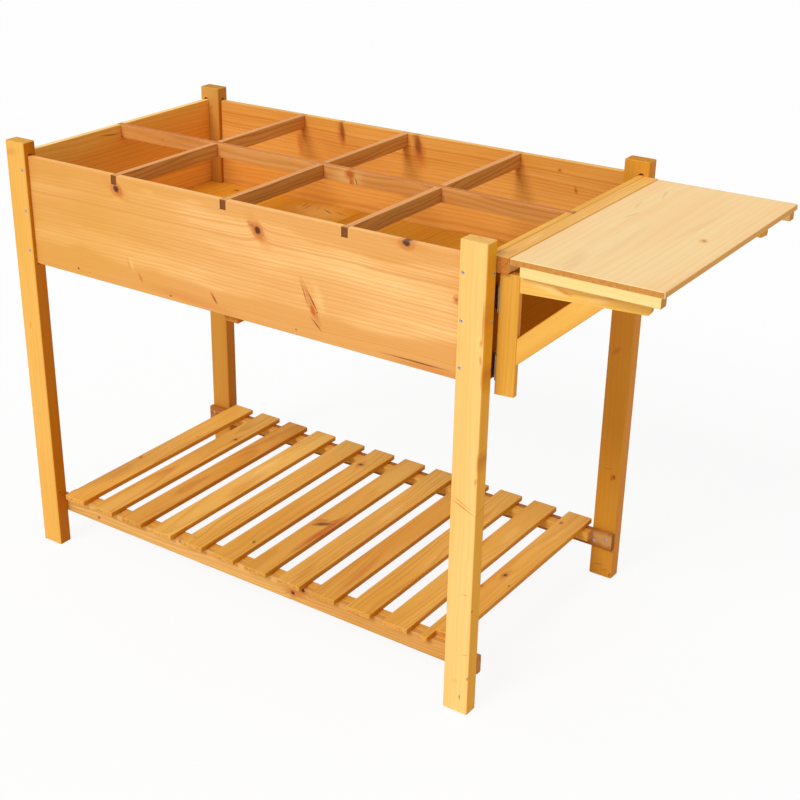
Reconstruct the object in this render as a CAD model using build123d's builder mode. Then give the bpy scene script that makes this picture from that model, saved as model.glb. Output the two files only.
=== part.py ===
from build123d import *
import os
from math import cos, radians, sin, tan

# Raised planter with a folding side table, in millimetres.
# X runs along the planter towards the table, Y from front to back, Z up.
# The origin is on the floor, in the middle of the box round planter and table.

os.makedirs("parts", exist_ok=True)

# Planter as a whole
planter_length = 1000.0
planter_depth = 560.0
post_height = 820.0

# Corner posts, with stopped grooves that take the ends of the boards
post_width = 47.0
post_thickness = 28.0
post_edge_radius = 3.0
post_end_cut = 1.2
long_board_groove_depth = 15.0
short_board_groove_depth = 11.0
groove_play = 0.4
groove_end_overlap = 2.0

# Boards round the box
board_thickness = 12.0
board_height = 200.0
board_ease = 0.8
board_top_drop = 25.0

# Dividers, half lapped where they cross and notched over the boards
divider_thickness = 12.0
divider_height = 25.0
divider_ease = 0.6
divider_lap_share = 0.5
divider_lap_play = 0.4
divider_end_recess = 1.0
divider_tongue_height = 16.5
divider_notch_play = 0.4
cross_divider_count = 3

# Floor of the box
floor_plank_count = 5
floor_plank_thickness = 12.0
floor_plank_gap = 0.8
floor_plank_ease = 1.0
floor_play = 1.0
floor_cleat_height = 15.0
floor_cleat_width = 18.0
floor_cleat_rise = 2.0
floor_batten_width = 28.0
floor_batten_height = 32.0

# Shelf of slats between the legs
shelf_beam_thickness = 12.0
shelf_beam_height = 34.5
shelf_beam_bottom = 66.5
shelf_beam_ease = 1.5
shelf_strip_size = 18.0
shelf_strip_ease = 1.0
shelf_strip_end_inset = 42.0
slat_count = 12
slat_width = 50.0
slat_thickness = 9.0
slat_side_gap = 8.5
slat_end_inset = 15.0
slat_corner_cut = 1.5
slat_ease = 0.8
last_slat_notch_width = 36.0
last_slat_notch_length = 31.0

# Rail that carries the table
rail_width = 25.5
rail_ease = 1.0
rail_bracket_relief = 1.0

# Table, level with the rail
table_reach = 240.5
table_thickness = 10.0
table_gap = 1.25
table_side_gap = 2.0
table_corner_cut = 1.5
table_ease = 1.0
table_batten_width = 18.0
table_batten_height = 15.5
table_batten_ease = 0.8
table_batten_inner_inset = 18.0
table_batten_outer_inset = 4.5

# Gate brackets under the table. The rest swing is how far they stand from square.
bracket_thickness = 12.0
bracket_width = 32.0
bracket_arm_height = 26.0
bracket_ease = 1.2
bracket_wall_gap = 8.75
bracket_table_play = 0.5
bracket_tip_gap = 4.0
bracket_tip_radius = 6.0
bracket_stile_length = 193.0
bracket_brace_rise = 52.0
bracket_brace_angle = 42.0
bracket_rest_swing = 7.5

# Butt hinges, with small round parts drawn as prisms
barrel_sides = 12
leaf_thickness = 1.2
knuckle_count = 5
knuckle_play = 0.3
barrel_play = 0.35
pin_radius = 1.6
pin_play = 0.15
pin_ease = 0.5
table_hinge_length = 50.0
table_hinge_leaf_width = 10.5
table_hinge_pin_out = 3.2
table_hinge_pin_drop = 3.5
table_hinge_inset = 60.0
bracket_hinge_length = 40.0
bracket_hinge_leaf_width = 17.0
bracket_hinge_pin_clear = 1.5
bracket_hinge_inset = 42.0

# Screws in the hinge leaves
screw_sides = 8
leaf_screw_count = 2
leaf_screw_spread_share = 0.6
leaf_screw_place_share = 0.62
leaf_screw_radius = 1.5
leaf_screw_play = 0.1
leaf_screw_head_radius = 2.8
leaf_screw_head_height = 0.9

# Screws in the frame, sunk into the faces of the wood
screw_head_radius = 3.0
screw_head_height = 1.2
screw_head_play = 0.15
screw_head_sink = 0.2
board_screw_count = 3
board_screw_edge = 25.0
beam_screw_outer = 12.0
beam_screw_inner = 37.0
beam_screw_stagger = 4.5

# How far a cut runs past the surface that it opens
cut_overrun = 5.0

# Length of the whole, and the planter's place along it
board_recess = (post_thickness - board_thickness) / 2
overall_length = planter_length - board_recess + rail_width + table_gap + table_reach
planter_middle = (planter_length - overall_length) / 2

# Box: heights, and distances from the planter's middle
board_top = post_height - board_top_drop
board_bottom = board_top - board_height
board_mid_height = (board_top + board_bottom) / 2
long_board_out = planter_depth / 2 - board_recess - board_thickness / 2
short_board_out = planter_length / 2 - board_recess - board_thickness / 2
long_board_length = planter_length - 2 * (post_width - long_board_groove_depth)
short_board_length = planter_depth - 2 * (post_thickness - short_board_groove_depth)
inside_length = 2 * short_board_out - board_thickness
inside_depth = 2 * long_board_out - board_thickness
post_inner_out_x = planter_length / 2 - post_width
post_inner_out_y = planter_depth / 2 - post_thickness
cleat_bottom = board_bottom + floor_cleat_rise
plank_bottom = cleat_bottom + floor_cleat_height

# Shelf
shelf_beam_top = shelf_beam_bottom + shelf_beam_height
shelf_beam_out = post_inner_out_y - shelf_beam_thickness / 2

# Table and rail
rail_height = table_thickness + table_batten_height - rail_bracket_relief
rail_inner_x = planter_middle + short_board_out + board_thickness / 2
rail_outer_x = rail_inner_x + rail_width
table_inner_x = rail_outer_x + table_gap
table_length = 2 * (post_inner_out_y - table_side_gap)
table_underside = board_top - table_thickness
table_batten_bottom = table_underside - table_batten_height
table_batten_out = (table_length - table_batten_width) / 2

# Brackets, each centred under a table batten when it stands square
bracket_pin_x = rail_inner_x + bracket_wall_gap / 2
bracket_pin_out = table_batten_out - bracket_thickness / 2 - bracket_hinge_pin_clear
bracket_top = table_batten_bottom - bracket_table_play
bracket_bottom = bracket_top - bracket_stile_length
bracket_reach = bracket_pin_out - bracket_tip_gap / 2

# The four posts stand at each end, left and right, of each side, front and back
ENDS = {"left": -1, "right": 1}
FACES = {"front": -1, "back": 1}


def screw_plane(point, outward):
    """Plane on a face of wood where a screw goes in, with z out of the wood."""
    return Plane(origin=point, x_dir=(0, 0, 1), z_dir=outward)


def post_screw_planes(end, face):
    """Screws through the two outer faces of a post into the tongues of its boards."""
    tongue_x = planter_middle + end * (post_inner_out_x + long_board_groove_depth / 2)
    tongue_y = face * (post_inner_out_y + short_board_groove_depth / 2)
    pitch = (board_height - 2 * board_screw_edge) / (board_screw_count - 1)
    planes = []
    for number in range(board_screw_count):
        height = board_bottom + board_screw_edge + number * pitch
        face_point = (tongue_x, face * planter_depth / 2, height)
        end_point = (planter_middle + end * planter_length / 2, tongue_y, height)
        planes.append(screw_plane(face_point, (0, face, 0)))
        planes.append(screw_plane(end_point, (end, 0, 0)))
    return planes


def beam_screw_planes(face):
    """Two staggered screws through each end of a shelf beam into the posts."""
    beam_mid_height = shelf_beam_bottom + shelf_beam_height / 2
    beam_inner_y = face * (post_inner_out_y - shelf_beam_thickness)
    planes = []
    for end in ENDS.values():
        outer_x = planter_middle + end * (planter_length / 2 - beam_screw_outer)
        inner_x = planter_middle + end * (planter_length / 2 - beam_screw_inner)
        outer_point = (outer_x, beam_inner_y, beam_mid_height + beam_screw_stagger)
        inner_point = (inner_x, beam_inner_y, beam_mid_height - beam_screw_stagger)
        planes.append(screw_plane(outer_point, (0, -face, 0)))
        planes.append(screw_plane(inner_point, (0, -face, 0)))
    return planes


def build_screw_pockets(planes):
    """Flat pockets for screw heads, to be cut from the wood, one at each plane."""
    with BuildPart() as pockets:
        with BuildSketch(*planes):
            RegularPolygon(screw_head_radius + screw_head_play, screw_sides)
        extrude(amount=-(screw_head_height + screw_head_sink))
    return pockets.part


def build_post(end, face):
    """Corner post: a rounded section with two stopped grooves and its screw pockets."""
    groove_width = board_thickness + groove_play
    groove_length = board_height + groove_width - 2 * groove_end_overlap
    post_inner_x = planter_middle + end * post_inner_out_x
    board_x = planter_middle + end * short_board_out
    long_groove_place = (post_inner_x, face * long_board_out, board_mid_height)
    short_groove_place = (board_x, face * post_inner_out_y, board_mid_height)
    pockets = build_screw_pockets(post_screw_planes(end, face))
    with BuildPart() as post:
        with BuildSketch():
            post_x = planter_middle + end * (planter_length - post_width) / 2
            with Locations((post_x, face * (planter_depth - post_thickness) / 2)):
                RectangleRounded(post_width, post_thickness, post_edge_radius)
        extrude(amount=post_height)
        rims = post.faces().filter_by(Axis.Z).edges()
        chamfer(rims, length=post_end_cut)
        with BuildSketch(Plane(origin=long_groove_place, x_dir=(0, 0, 1), z_dir=(-end, 0, 0))):
            SlotOverall(groove_length, groove_width)
        extrude(amount=-long_board_groove_depth, mode=Mode.SUBTRACT)
        with BuildSketch(Plane(origin=short_groove_place, x_dir=(0, 0, 1), z_dir=(0, -face, 0))):
            SlotOverall(groove_length, groove_width)
        extrude(amount=-short_board_groove_depth, mode=Mode.SUBTRACT)
        add(pockets, mode=Mode.SUBTRACT)
    return post.part


def cross_divider_places():
    """X of each cross divider: the cells along the box are equally long."""
    cell = (inside_length - cross_divider_count * divider_thickness) / (cross_divider_count + 1)
    first = planter_middle - inside_length / 2 + cell + divider_thickness / 2
    return [first + number * (cell + divider_thickness) for number in range(cross_divider_count)]


def build_long_board(face):
    """Front or back board, notched from above for the cross dividers."""
    with BuildPart() as board:
        with BuildSketch(Plane.YZ.offset(planter_middle)) as section:
            with Locations((face * long_board_out, board_mid_height)):
                Rectangle(board_thickness, board_height)
            chamfer(section.vertices(), length=board_ease)
        extrude(amount=long_board_length / 2, both=True)
        with BuildSketch(Plane.XY.offset(board_top)):
            with Locations(*[(x, face * long_board_out) for x in cross_divider_places()]):
                Rectangle(divider_thickness + divider_notch_play, board_thickness + cut_overrun)
        extrude(amount=-divider_tongue_height, mode=Mode.SUBTRACT)
    return board.part


def build_short_board(end):
    """Left or right board, notched from above for the long divider."""
    board_x = planter_middle + end * short_board_out
    with BuildPart() as board:
        with BuildSketch(Plane.XZ) as section:
            with Locations((board_x, board_mid_height)):
                Rectangle(board_thickness, board_height)
            chamfer(section.vertices(), length=board_ease)
        extrude(amount=short_board_length / 2, both=True)
        with BuildSketch(Plane.XY.offset(board_top)):
            with Locations((board_x, 0)):
                Rectangle(board_thickness + cut_overrun, divider_thickness + divider_notch_play)
        extrude(amount=-divider_tongue_height, mode=Mode.SUBTRACT)
    return board.part


def draw_divider_side(middle, inside_span):
    """Side of a divider, in the sketch that is open: a strip with a shallower tongue at each end."""
    tongue_span = inside_span + 2 * (board_thickness - divider_end_recess)
    with Locations((middle, board_top - divider_height / 2)):
        Rectangle(inside_span, divider_height)
    with Locations((middle, board_top - divider_tongue_height / 2)):
        Rectangle(tongue_span, divider_tongue_height)


def build_long_divider():
    """Divider along the box. Its laps open downwards, so its top runs on unbroken."""
    lap_depth = divider_height * (1 - divider_lap_share)
    with BuildPart() as divider:
        with BuildSketch(Plane.XZ):
            draw_divider_side(planter_middle, inside_length)
            with Locations(*[(x, board_top - divider_height) for x in cross_divider_places()]):
                Rectangle(divider_thickness + divider_lap_play, 2 * lap_depth, mode=Mode.SUBTRACT)
        extrude(amount=divider_thickness / 2, both=True)
        chamfer(divider.edges().filter_by(Axis.X).group_by(Axis.Z)[-1], length=divider_ease)
    return divider.part


def build_cross_divider(x):
    """Divider across the box, lapped from above under the long one."""
    lap_depth = divider_height * divider_lap_share
    with BuildPart() as divider:
        with BuildSketch(Plane.YZ.offset(x)):
            draw_divider_side(0, inside_depth)
            with Locations((0, board_top)):
                Rectangle(divider_thickness + divider_lap_play, 2 * lap_depth, mode=Mode.SUBTRACT)
        extrude(amount=divider_thickness / 2, both=True)
        chamfer(divider.edges().filter_by(Axis.Y).group_by(Axis.Z)[-1], length=divider_ease)
    return divider.part


def build_floor_plank(number):
    """Floor plank from front to back, cut round the posts where it meets them."""
    laid_length = inside_length - 2 * floor_play
    width = (laid_length - (floor_plank_count - 1) * floor_plank_gap) / floor_plank_count
    first = planter_middle - (laid_length - width) / 2
    corners = [
        (planter_middle + end * planter_length / 2, face * planter_depth / 2)
        for end in ENDS.values()
        for face in FACES.values()
    ]
    plank_x = first + number * (width + floor_plank_gap)
    with BuildPart() as plank:
        with BuildSketch(Plane.XZ) as section:
            with Locations((plank_x, plank_bottom + floor_plank_thickness / 2)):
                Rectangle(width, floor_plank_thickness)
            chamfer(section.vertices(), length=floor_plank_ease)
        extrude(amount=inside_depth / 2 - floor_play, both=True)
        with BuildSketch(Plane.XY.offset(plank_bottom)):
            with Locations(*corners):
                Rectangle(2 * (post_width + floor_play), 2 * (post_thickness + floor_play))
        extrude(amount=floor_plank_thickness, mode=Mode.SUBTRACT)
    return plank.part


def build_floor_cleat(face):
    """Cleat along the inner face of a long board, from post to post, under the planks."""
    cleat_y = face * (inside_depth - floor_cleat_width) / 2
    with BuildPart() as cleat:
        with BuildSketch(Plane.YZ.offset(planter_middle)):
            with Locations((cleat_y, cleat_bottom + floor_cleat_height / 2)):
                Rectangle(floor_cleat_width, floor_cleat_height)
        extrude(amount=post_inner_out_x - floor_play, both=True)
    return cleat.part


def build_floor_batten():
    """Batten across the middle of the floor, notched at both ends under the cleats."""
    with BuildPart() as batten:
        with BuildSketch(Plane.YZ.offset(planter_middle)):
            with Locations((0, plank_bottom - floor_batten_height / 2)):
                Rectangle(inside_depth, floor_batten_height)
            with Locations((-inside_depth / 2, plank_bottom), (inside_depth / 2, plank_bottom)):
                Rectangle(2 * floor_cleat_width, 2 * floor_cleat_height, mode=Mode.SUBTRACT)
        extrude(amount=floor_batten_width / 2, both=True)
    return batten.part


def build_shelf_beam(face):
    """Beam on the inner faces of two posts, as long as the planter."""
    pockets = build_screw_pockets(beam_screw_planes(face))
    with BuildPart() as beam:
        with BuildSketch(Plane.YZ.offset(planter_middle)) as section:
            with Locations((face * shelf_beam_out, shelf_beam_top - shelf_beam_height / 2)):
                Rectangle(shelf_beam_thickness, shelf_beam_height)
            chamfer(section.vertices(), length=shelf_beam_ease)
        extrude(amount=planter_length / 2, both=True)
        add(pockets, mode=Mode.SUBTRACT)
    return beam.part


def build_shelf_strip(face):
    """Square strip beside a shelf beam, level with its top and shorter at both ends."""
    strip_out = shelf_beam_out - (shelf_beam_thickness + shelf_strip_size) / 2
    with BuildPart() as strip:
        with BuildSketch(Plane.YZ.offset(planter_middle)) as section:
            with Locations((face * strip_out, shelf_beam_top - shelf_strip_size / 2)):
                Rectangle(shelf_strip_size, shelf_strip_size)
            chamfer(section.vertices(), length=shelf_strip_ease)
        extrude(amount=planter_length / 2 - shelf_strip_end_inset, both=True)
    return strip.part


def build_slat(number):
    """Shelf slat. The last one has its front right corner notched out."""
    row_span = 2 * (post_inner_out_x - slat_side_gap)
    pitch = (row_span - slat_width) / (slat_count - 1)
    slat_x = planter_middle - (row_span - slat_width) / 2 + number * pitch
    slat_length = planter_depth - 2 * slat_end_inset
    with BuildPart() as slat:
        with BuildSketch(Plane.XY.offset(shelf_beam_top)):
            with Locations((slat_x, 0)):
                Rectangle(slat_width, slat_length)
            if number == slat_count - 1:
                with Locations((slat_x + slat_width / 2, -slat_length / 2)):
                    Rectangle(2 * last_slat_notch_width, 2 * last_slat_notch_length, mode=Mode.SUBTRACT)
        extrude(amount=slat_thickness)
        chamfer(slat.edges().filter_by(Axis.Z), length=slat_corner_cut)
        chamfer(slat.faces().sort_by(Axis.Z)[-1].edges(), length=slat_ease)
    return slat.part


def build_hinge_rail():
    """Rail outside the right board, between the posts, level with the board's top."""
    with BuildPart() as rail:
        with BuildSketch(Plane.XZ) as section:
            with Locations((rail_inner_x + rail_width / 2, board_top - rail_height / 2)):
                Rectangle(rail_width, rail_height)
            chamfer(section.vertices(), length=rail_ease)
        extrude(amount=post_inner_out_y, both=True)
    return rail.part


def build_tabletop():
    """Table board, level with the rail and clear of it by the table gap."""
    with BuildPart() as top:
        with BuildSketch(Plane.XY.offset(table_underside)):
            with Locations((table_inner_x + table_reach / 2, 0)):
                Rectangle(table_reach, table_length)
        extrude(amount=table_thickness)
        chamfer(top.edges().filter_by(Axis.Z), length=table_corner_cut)
        chamfer(top.faces().filter_by(Axis.Z).edges(), length=table_ease)
    return top.part


def build_table_batten(face):
    """Batten under the front or back edge of the tabletop."""
    batten_length = table_reach - table_batten_inner_inset - table_batten_outer_inset
    with BuildPart() as batten:
        with BuildSketch(Plane.YZ.offset(table_inner_x + table_batten_inner_inset)) as section:
            with Locations((face * table_batten_out, table_underside - table_batten_height / 2)):
                Rectangle(table_batten_width, table_batten_height)
            chamfer(section.vertices(), length=table_batten_ease)
        extrude(amount=batten_length)
    return batten.part


# Front bracket: x out from the pin, y up and z towards the front, turned by the rest swing
SWING = radians(bracket_rest_swing)
BRACE = radians(bracket_brace_angle)
bracket_out_direction = (cos(SWING), sin(SWING), 0)
bracket_frame = Plane(
    origin=(bracket_pin_x, -bracket_pin_out, 0),
    x_dir=bracket_out_direction,
    z_dir=(sin(SWING), -cos(SWING), 0),
)
bracket_mid_plane = bracket_frame.offset(bracket_hinge_pin_clear + bracket_thickness / 2)
stile_inner = bracket_wall_gap / 2
stile_outer = stile_inner + bracket_width
arm_bottom = bracket_top - bracket_arm_height


def build_bracket_stile():
    """Upright of the front bracket, which the hinges carry."""
    with BuildPart() as stile:
        with BuildSketch(bracket_mid_plane):
            with Locations((stile_inner + bracket_width / 2, (bracket_top + bracket_bottom) / 2)):
                Rectangle(bracket_width, bracket_stile_length)
        extrude(amount=bracket_thickness / 2, both=True)
        chamfer(stile.edges().filter_by(Axis.Z), length=bracket_ease)
    return stile.part


def build_bracket_arm():
    """Arm of the front bracket, which reaches out under the table and has a rounded tip."""
    arm_length = bracket_reach - stile_outer
    with BuildPart() as arm:
        with BuildSketch(bracket_mid_plane) as side:
            with Locations((stile_outer + arm_length / 2, bracket_top - bracket_arm_height / 2)):
                Rectangle(arm_length, bracket_arm_height)
            fillet(side.vertices().group_by(Axis.X)[-1].sort_by(Axis.Y)[0], radius=bracket_tip_radius)
        extrude(amount=bracket_thickness / 2, both=True)
        upper = arm.faces().sort_by(Axis.Z)[-1].edges().filter_by(Axis((0, 0, 0), bracket_out_direction))
        chamfer(upper, length=bracket_ease)
    return arm.part


def build_bracket_brace():
    """Slanting brace of the front bracket, mitred to the stile and to the arm."""
    foot = bracket_bottom + bracket_brace_rise
    foot_height = bracket_width / cos(BRACE)
    lower_reach = (arm_bottom - foot) / tan(BRACE)
    upper_reach = (arm_bottom - foot - foot_height) / tan(BRACE)
    slant_direction = (cos(BRACE) * cos(SWING), cos(BRACE) * sin(SWING), sin(BRACE))
    with BuildPart() as brace:
        with BuildSketch(bracket_mid_plane):
            with BuildLine():
                Polyline(
                    (stile_outer, foot),
                    (stile_outer + lower_reach, arm_bottom),
                    (stile_outer + upper_reach, arm_bottom),
                    (stile_outer, foot + foot_height),
                    close=True,
                )
            make_face()
        extrude(amount=bracket_thickness / 2, both=True)
        chamfer(brace.edges().filter_by(Axis((0, 0, 0), slant_direction)), length=bracket_ease)
    return brace.part


class Hinge:
    """A kind of butt hinge: its length and the radius of its barrel."""

    def __init__(self, length, barrel_radius):
        self.length = length
        self.barrel_radius = barrel_radius
        self.knuckle_pitch = length / knuckle_count

    def knuckle_start(self, number):
        return number * self.knuckle_pitch - self.length / 2


table_hinge = Hinge(table_hinge_length, table_hinge_pin_out - barrel_play)
bracket_hinge = Hinge(bracket_hinge_length, bracket_wall_gap / 2 - barrel_play)


def leaf_screw_planes(place, hinge, face_offset, leaf_width):
    """Planes on the wood under a leaf, one for each screw, with z out of the wood."""
    spread = hinge.length * leaf_screw_spread_share
    planes = []
    for number in range(leaf_screw_count):
        along = spread * number / (leaf_screw_count - 1) - spread / 2
        point = place.from_local_coords(Vector(face_offset, leaf_width * leaf_screw_place_share, along))
        planes.append(Plane(origin=point, x_dir=place.z_dir, z_dir=-place.x_dir))
    return planes


def build_leaf(place, hinge, face_offset, leaf_width, first_knuckle, bore_radius):
    """Hinge leaf round a pin along place's z axis. It lies against the wood at face_offset along x
    and is leaf_width wide along y. Every second knuckle is its own, from first_knuckle on."""
    with BuildPart() as leaf:
        with BuildSketch(place):
            with Locations((face_offset - leaf_thickness / 2, leaf_width / 2)):
                Rectangle(leaf_thickness, leaf_width)
        extrude(amount=hinge.length / 2, both=True)
        for number in range(1 - first_knuckle, knuckle_count, 2):
            with BuildSketch(place.offset(hinge.knuckle_start(number) - knuckle_play / 2)):
                with Locations((face_offset, 0)):
                    Rectangle(2 * leaf_thickness + cut_overrun, 2 * (hinge.barrel_radius + barrel_play))
            extrude(amount=hinge.knuckle_pitch + knuckle_play, mode=Mode.SUBTRACT)
        for number in range(first_knuckle, knuckle_count, 2):
            with BuildSketch(place.offset(hinge.knuckle_start(number) + knuckle_play / 2)):
                RegularPolygon(hinge.barrel_radius, barrel_sides)
            extrude(amount=hinge.knuckle_pitch - knuckle_play)
        with BuildSketch(place):
            RegularPolygon(bore_radius, barrel_sides)
        extrude(amount=hinge.length / 2, both=True, mode=Mode.SUBTRACT)
        with BuildSketch(*leaf_screw_planes(place, hinge, face_offset, leaf_width)):
            RegularPolygon(leaf_screw_radius + leaf_screw_play, screw_sides)
        extrude(amount=leaf_thickness, mode=Mode.SUBTRACT)
    return leaf.part


def build_leaf_screws(place, hinge, face_offset, leaf_width):
    """Screws of a leaf: each has a shank through the leaf and a head on it."""
    planes = leaf_screw_planes(place, hinge, face_offset, leaf_width)
    with BuildPart() as screws:
        with BuildSketch(*planes):
            RegularPolygon(leaf_screw_radius, screw_sides)
        extrude(amount=leaf_thickness)
        with BuildSketch(*[plane.offset(leaf_thickness) for plane in planes]):
            RegularPolygon(leaf_screw_head_radius, screw_sides)
        extrude(amount=leaf_screw_head_height)
    return screws.part


def build_pin(hinge, place):
    """Hinge pin along place's z axis, with eased ends."""
    with BuildPart() as pin:
        with BuildSketch(place):
            RegularPolygon(pin_radius, barrel_sides)
        extrude(amount=hinge.length / 2, both=True)
        chamfer(pin.faces().filter_by(Axis(place.origin, place.z_dir)).edges(), length=pin_ease)
    return pin.part


def both_sides(front_pieces):
    """The pieces at the front and their mirror images at the back, as one group."""
    with BuildPart() as group:
        for piece in front_pieces:
            add(piece)
            mirror(piece, about=Plane.XZ)
    return group.part


def gathered(front_pieces):
    """The pieces at the front as one group."""
    with BuildPart() as group:
        for piece in front_pieces:
            add(piece)
    return group.part


def mirrored(front_pieces):
    """The mirror images, at the back, of pieces at the front."""
    with BuildPart() as group:
        for piece in front_pieces:
            mirror(piece, about=Plane.XZ)
    return group.part


# Where the hinges stand. Those at the back are mirror images of those at the front.
table_pin_point = Vector(
    rail_outer_x + table_hinge_pin_out,
    table_hinge_inset - table_length / 2,
    table_underside - table_hinge_pin_drop,
)
rail_leaf_place = Plane(origin=table_pin_point, x_dir=(-1, 0, 0), z_dir=(0, -1, 0))
table_leaf_place = Plane(origin=table_pin_point, x_dir=(0, 0, 1), z_dir=(0, 1, 0))
bracket_pin_points = [
    Vector(bracket_pin_x, -bracket_pin_out, bracket_bottom + bracket_hinge_inset),
    Vector(bracket_pin_x, -bracket_pin_out, bracket_top - bracket_hinge_inset),
]
board_leaf_places = [
    Plane(origin=point, x_dir=(-1, 0, 0), z_dir=(0, 0, -1)) for point in bracket_pin_points
]
stile_leaf_places = [
    Plane(origin=point, x_dir=bracket_out_direction, z_dir=(0, 0, -1)) for point in bracket_pin_points
]

# What each leaf needs: its hinge, the offset of its wood from the pin, and its width
rail_fit = (table_hinge, table_hinge_pin_out, table_hinge_leaf_width)
table_fit = (table_hinge, table_hinge_pin_drop, table_hinge_leaf_width)
board_fit = (bracket_hinge, stile_inner, bracket_hinge_leaf_width)
stile_fit = (bracket_hinge, stile_inner, bracket_hinge_pin_clear + bracket_thickness)

# The leaves on the planter hold the pins, and the leaves on the moving pieces run free on them
free_bore = pin_radius + pin_play
rail_leaf = build_leaf(rail_leaf_place, *rail_fit, 0, pin_radius)
table_leaf = build_leaf(table_leaf_place, *table_fit, 1, free_bore)
board_leaves = [build_leaf(place, *board_fit, 0, pin_radius) for place in board_leaf_places]
stile_leaves = [build_leaf(place, *stile_fit, 1, free_bore) for place in stile_leaf_places]
rail_leaf_screws = build_leaf_screws(rail_leaf_place, *rail_fit)
table_leaf_screws = build_leaf_screws(table_leaf_place, *table_fit)
board_leaf_screws = [build_leaf_screws(place, *board_fit) for place in board_leaf_places]
stile_leaf_screws = [build_leaf_screws(place, *stile_fit) for place in stile_leaf_places]
bracket_pins = [build_pin(bracket_hinge, place) for place in board_leaf_places]


def build_frame_screws():
    """Heads of the screws that hold the boards and the shelf beams to the posts."""
    planes = []
    for face in FACES.values():
        planes += beam_screw_planes(face)
        for end in ENDS.values():
            planes += post_screw_planes(end, face)
    with BuildPart() as heads:
        with BuildSketch(*[plane.offset(-screw_head_height - screw_head_sink) for plane in planes]):
            RegularPolygon(screw_head_radius, screw_sides)
        extrude(amount=screw_head_height)
    return heads.part


# Every piece under its name
pieces = {}
for end_name, end in ENDS.items():
    pieces[f"board_{end_name}"] = build_short_board(end)
    for face_name, face in FACES.items():
        pieces[f"post_{face_name}_{end_name}"] = build_post(end, face)
for face_name, face in FACES.items():
    pieces[f"board_{face_name}"] = build_long_board(face)
    pieces[f"floor_cleat_{face_name}"] = build_floor_cleat(face)
    pieces[f"shelf_beam_{face_name}"] = build_shelf_beam(face)
    pieces[f"shelf_strip_{face_name}"] = build_shelf_strip(face)
    pieces[f"table_batten_{face_name}"] = build_table_batten(face)
pieces["divider_long"] = build_long_divider()
for number, x in enumerate(cross_divider_places()):
    pieces[f"divider_cross_{number + 1}"] = build_cross_divider(x)
for number in range(floor_plank_count):
    pieces[f"floor_plank_{number + 1}"] = build_floor_plank(number)
pieces["floor_batten"] = build_floor_batten()
for number in range(slat_count):
    pieces[f"shelf_slat_{number + 1}"] = build_slat(number)
pieces["hinge_rail"] = build_hinge_rail()
pieces["tabletop"] = build_tabletop()

front_bracket = {
    "stile": [build_bracket_stile()],
    "arm": [build_bracket_arm()],
    "brace": [build_bracket_brace()],
    "hinge_leaves": stile_leaves,
    "hinge_screws": stile_leaf_screws,
}
for name, group in front_bracket.items():
    pieces[f"bracket_front_{name}"] = gathered(group)
    pieces[f"bracket_back_{name}"] = mirrored(group)

pieces["rail_hinge_leaves"] = both_sides([rail_leaf])
pieces["table_hinge_leaves"] = both_sides([table_leaf])
pieces["table_hinge_pins"] = both_sides([build_pin(table_hinge, table_leaf_place)])
pieces["board_hinge_leaves"] = both_sides(board_leaves)
pieces["bracket_hinge_pins"] = both_sides(bracket_pins)
pieces["frame_screws"] = build_frame_screws()
pieces["planter_hinge_screws"] = both_sides([rail_leaf_screws] + board_leaf_screws)
pieces["table_hinge_screws"] = both_sides([table_leaf_screws])

for name, piece in pieces.items():
    piece.label = name
    export_step(piece, f"parts/{name}.step")
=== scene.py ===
import math
import random
from zlib import crc32

import bmesh
import bpy
from mathutils import Euler, Matrix, Vector


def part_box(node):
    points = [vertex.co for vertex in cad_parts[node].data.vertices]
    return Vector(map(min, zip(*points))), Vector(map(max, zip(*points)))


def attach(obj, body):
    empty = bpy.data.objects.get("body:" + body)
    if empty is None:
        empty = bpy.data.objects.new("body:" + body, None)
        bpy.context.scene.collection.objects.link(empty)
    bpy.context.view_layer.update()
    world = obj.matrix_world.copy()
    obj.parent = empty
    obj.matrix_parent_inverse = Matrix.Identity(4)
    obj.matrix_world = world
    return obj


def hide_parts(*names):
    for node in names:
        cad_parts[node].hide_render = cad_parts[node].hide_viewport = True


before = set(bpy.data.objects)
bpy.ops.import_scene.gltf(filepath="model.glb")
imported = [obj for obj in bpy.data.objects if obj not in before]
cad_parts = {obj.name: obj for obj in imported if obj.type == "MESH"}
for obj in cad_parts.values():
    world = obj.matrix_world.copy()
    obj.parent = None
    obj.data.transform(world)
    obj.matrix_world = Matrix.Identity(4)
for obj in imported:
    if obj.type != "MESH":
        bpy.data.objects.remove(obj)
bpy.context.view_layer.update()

MM = 0.001
FACES = ("front", "back")

# Directions of the grain, as turns that take local X to the axis of the wood
ALONG_X = (0.0, 0.0, 0.0)
ALONG_Y = (0.0, 0.0, math.radians(90))
ALONG_Z = (0.0, math.radians(-90), 0.0)


def srgb(red, green, blue):
    """Linear colour with alpha for a colour as it looks on screen, from 0 to 255."""
    linear = []
    for value in (red / 255, green / 255, blue / 255):
        linear.append(value / 12.92 if value <= 0.04045 else ((value + 0.055) / 1.055) ** 2.4)
    return (*linear, 1.0)


# Node trees


def put(tree, kind, inputs=None, **settings):
    """Adds a node, sets it up, and links or sets its inputs."""
    made = tree.nodes.new(kind)
    for name, value in settings.items():
        setattr(made, name, value)
    for socket, value in (inputs or {}).items():
        if isinstance(value, bpy.types.NodeSocket):
            tree.links.new(value, made.inputs[socket])
        else:
            made.inputs[socket].default_value = value
    return made


def put_group(tree, group, inputs):
    """Adds a node that uses a group."""
    return put(tree, "ShaderNodeGroup", inputs, node_tree=group)


def calc(tree, operation, first, second=0.0, clamp=False):
    """One sum on numbers."""
    inputs = {0: first, 1: second}
    return put(tree, "ShaderNodeMath", inputs, operation=operation, use_clamp=clamp).outputs[0]


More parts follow.
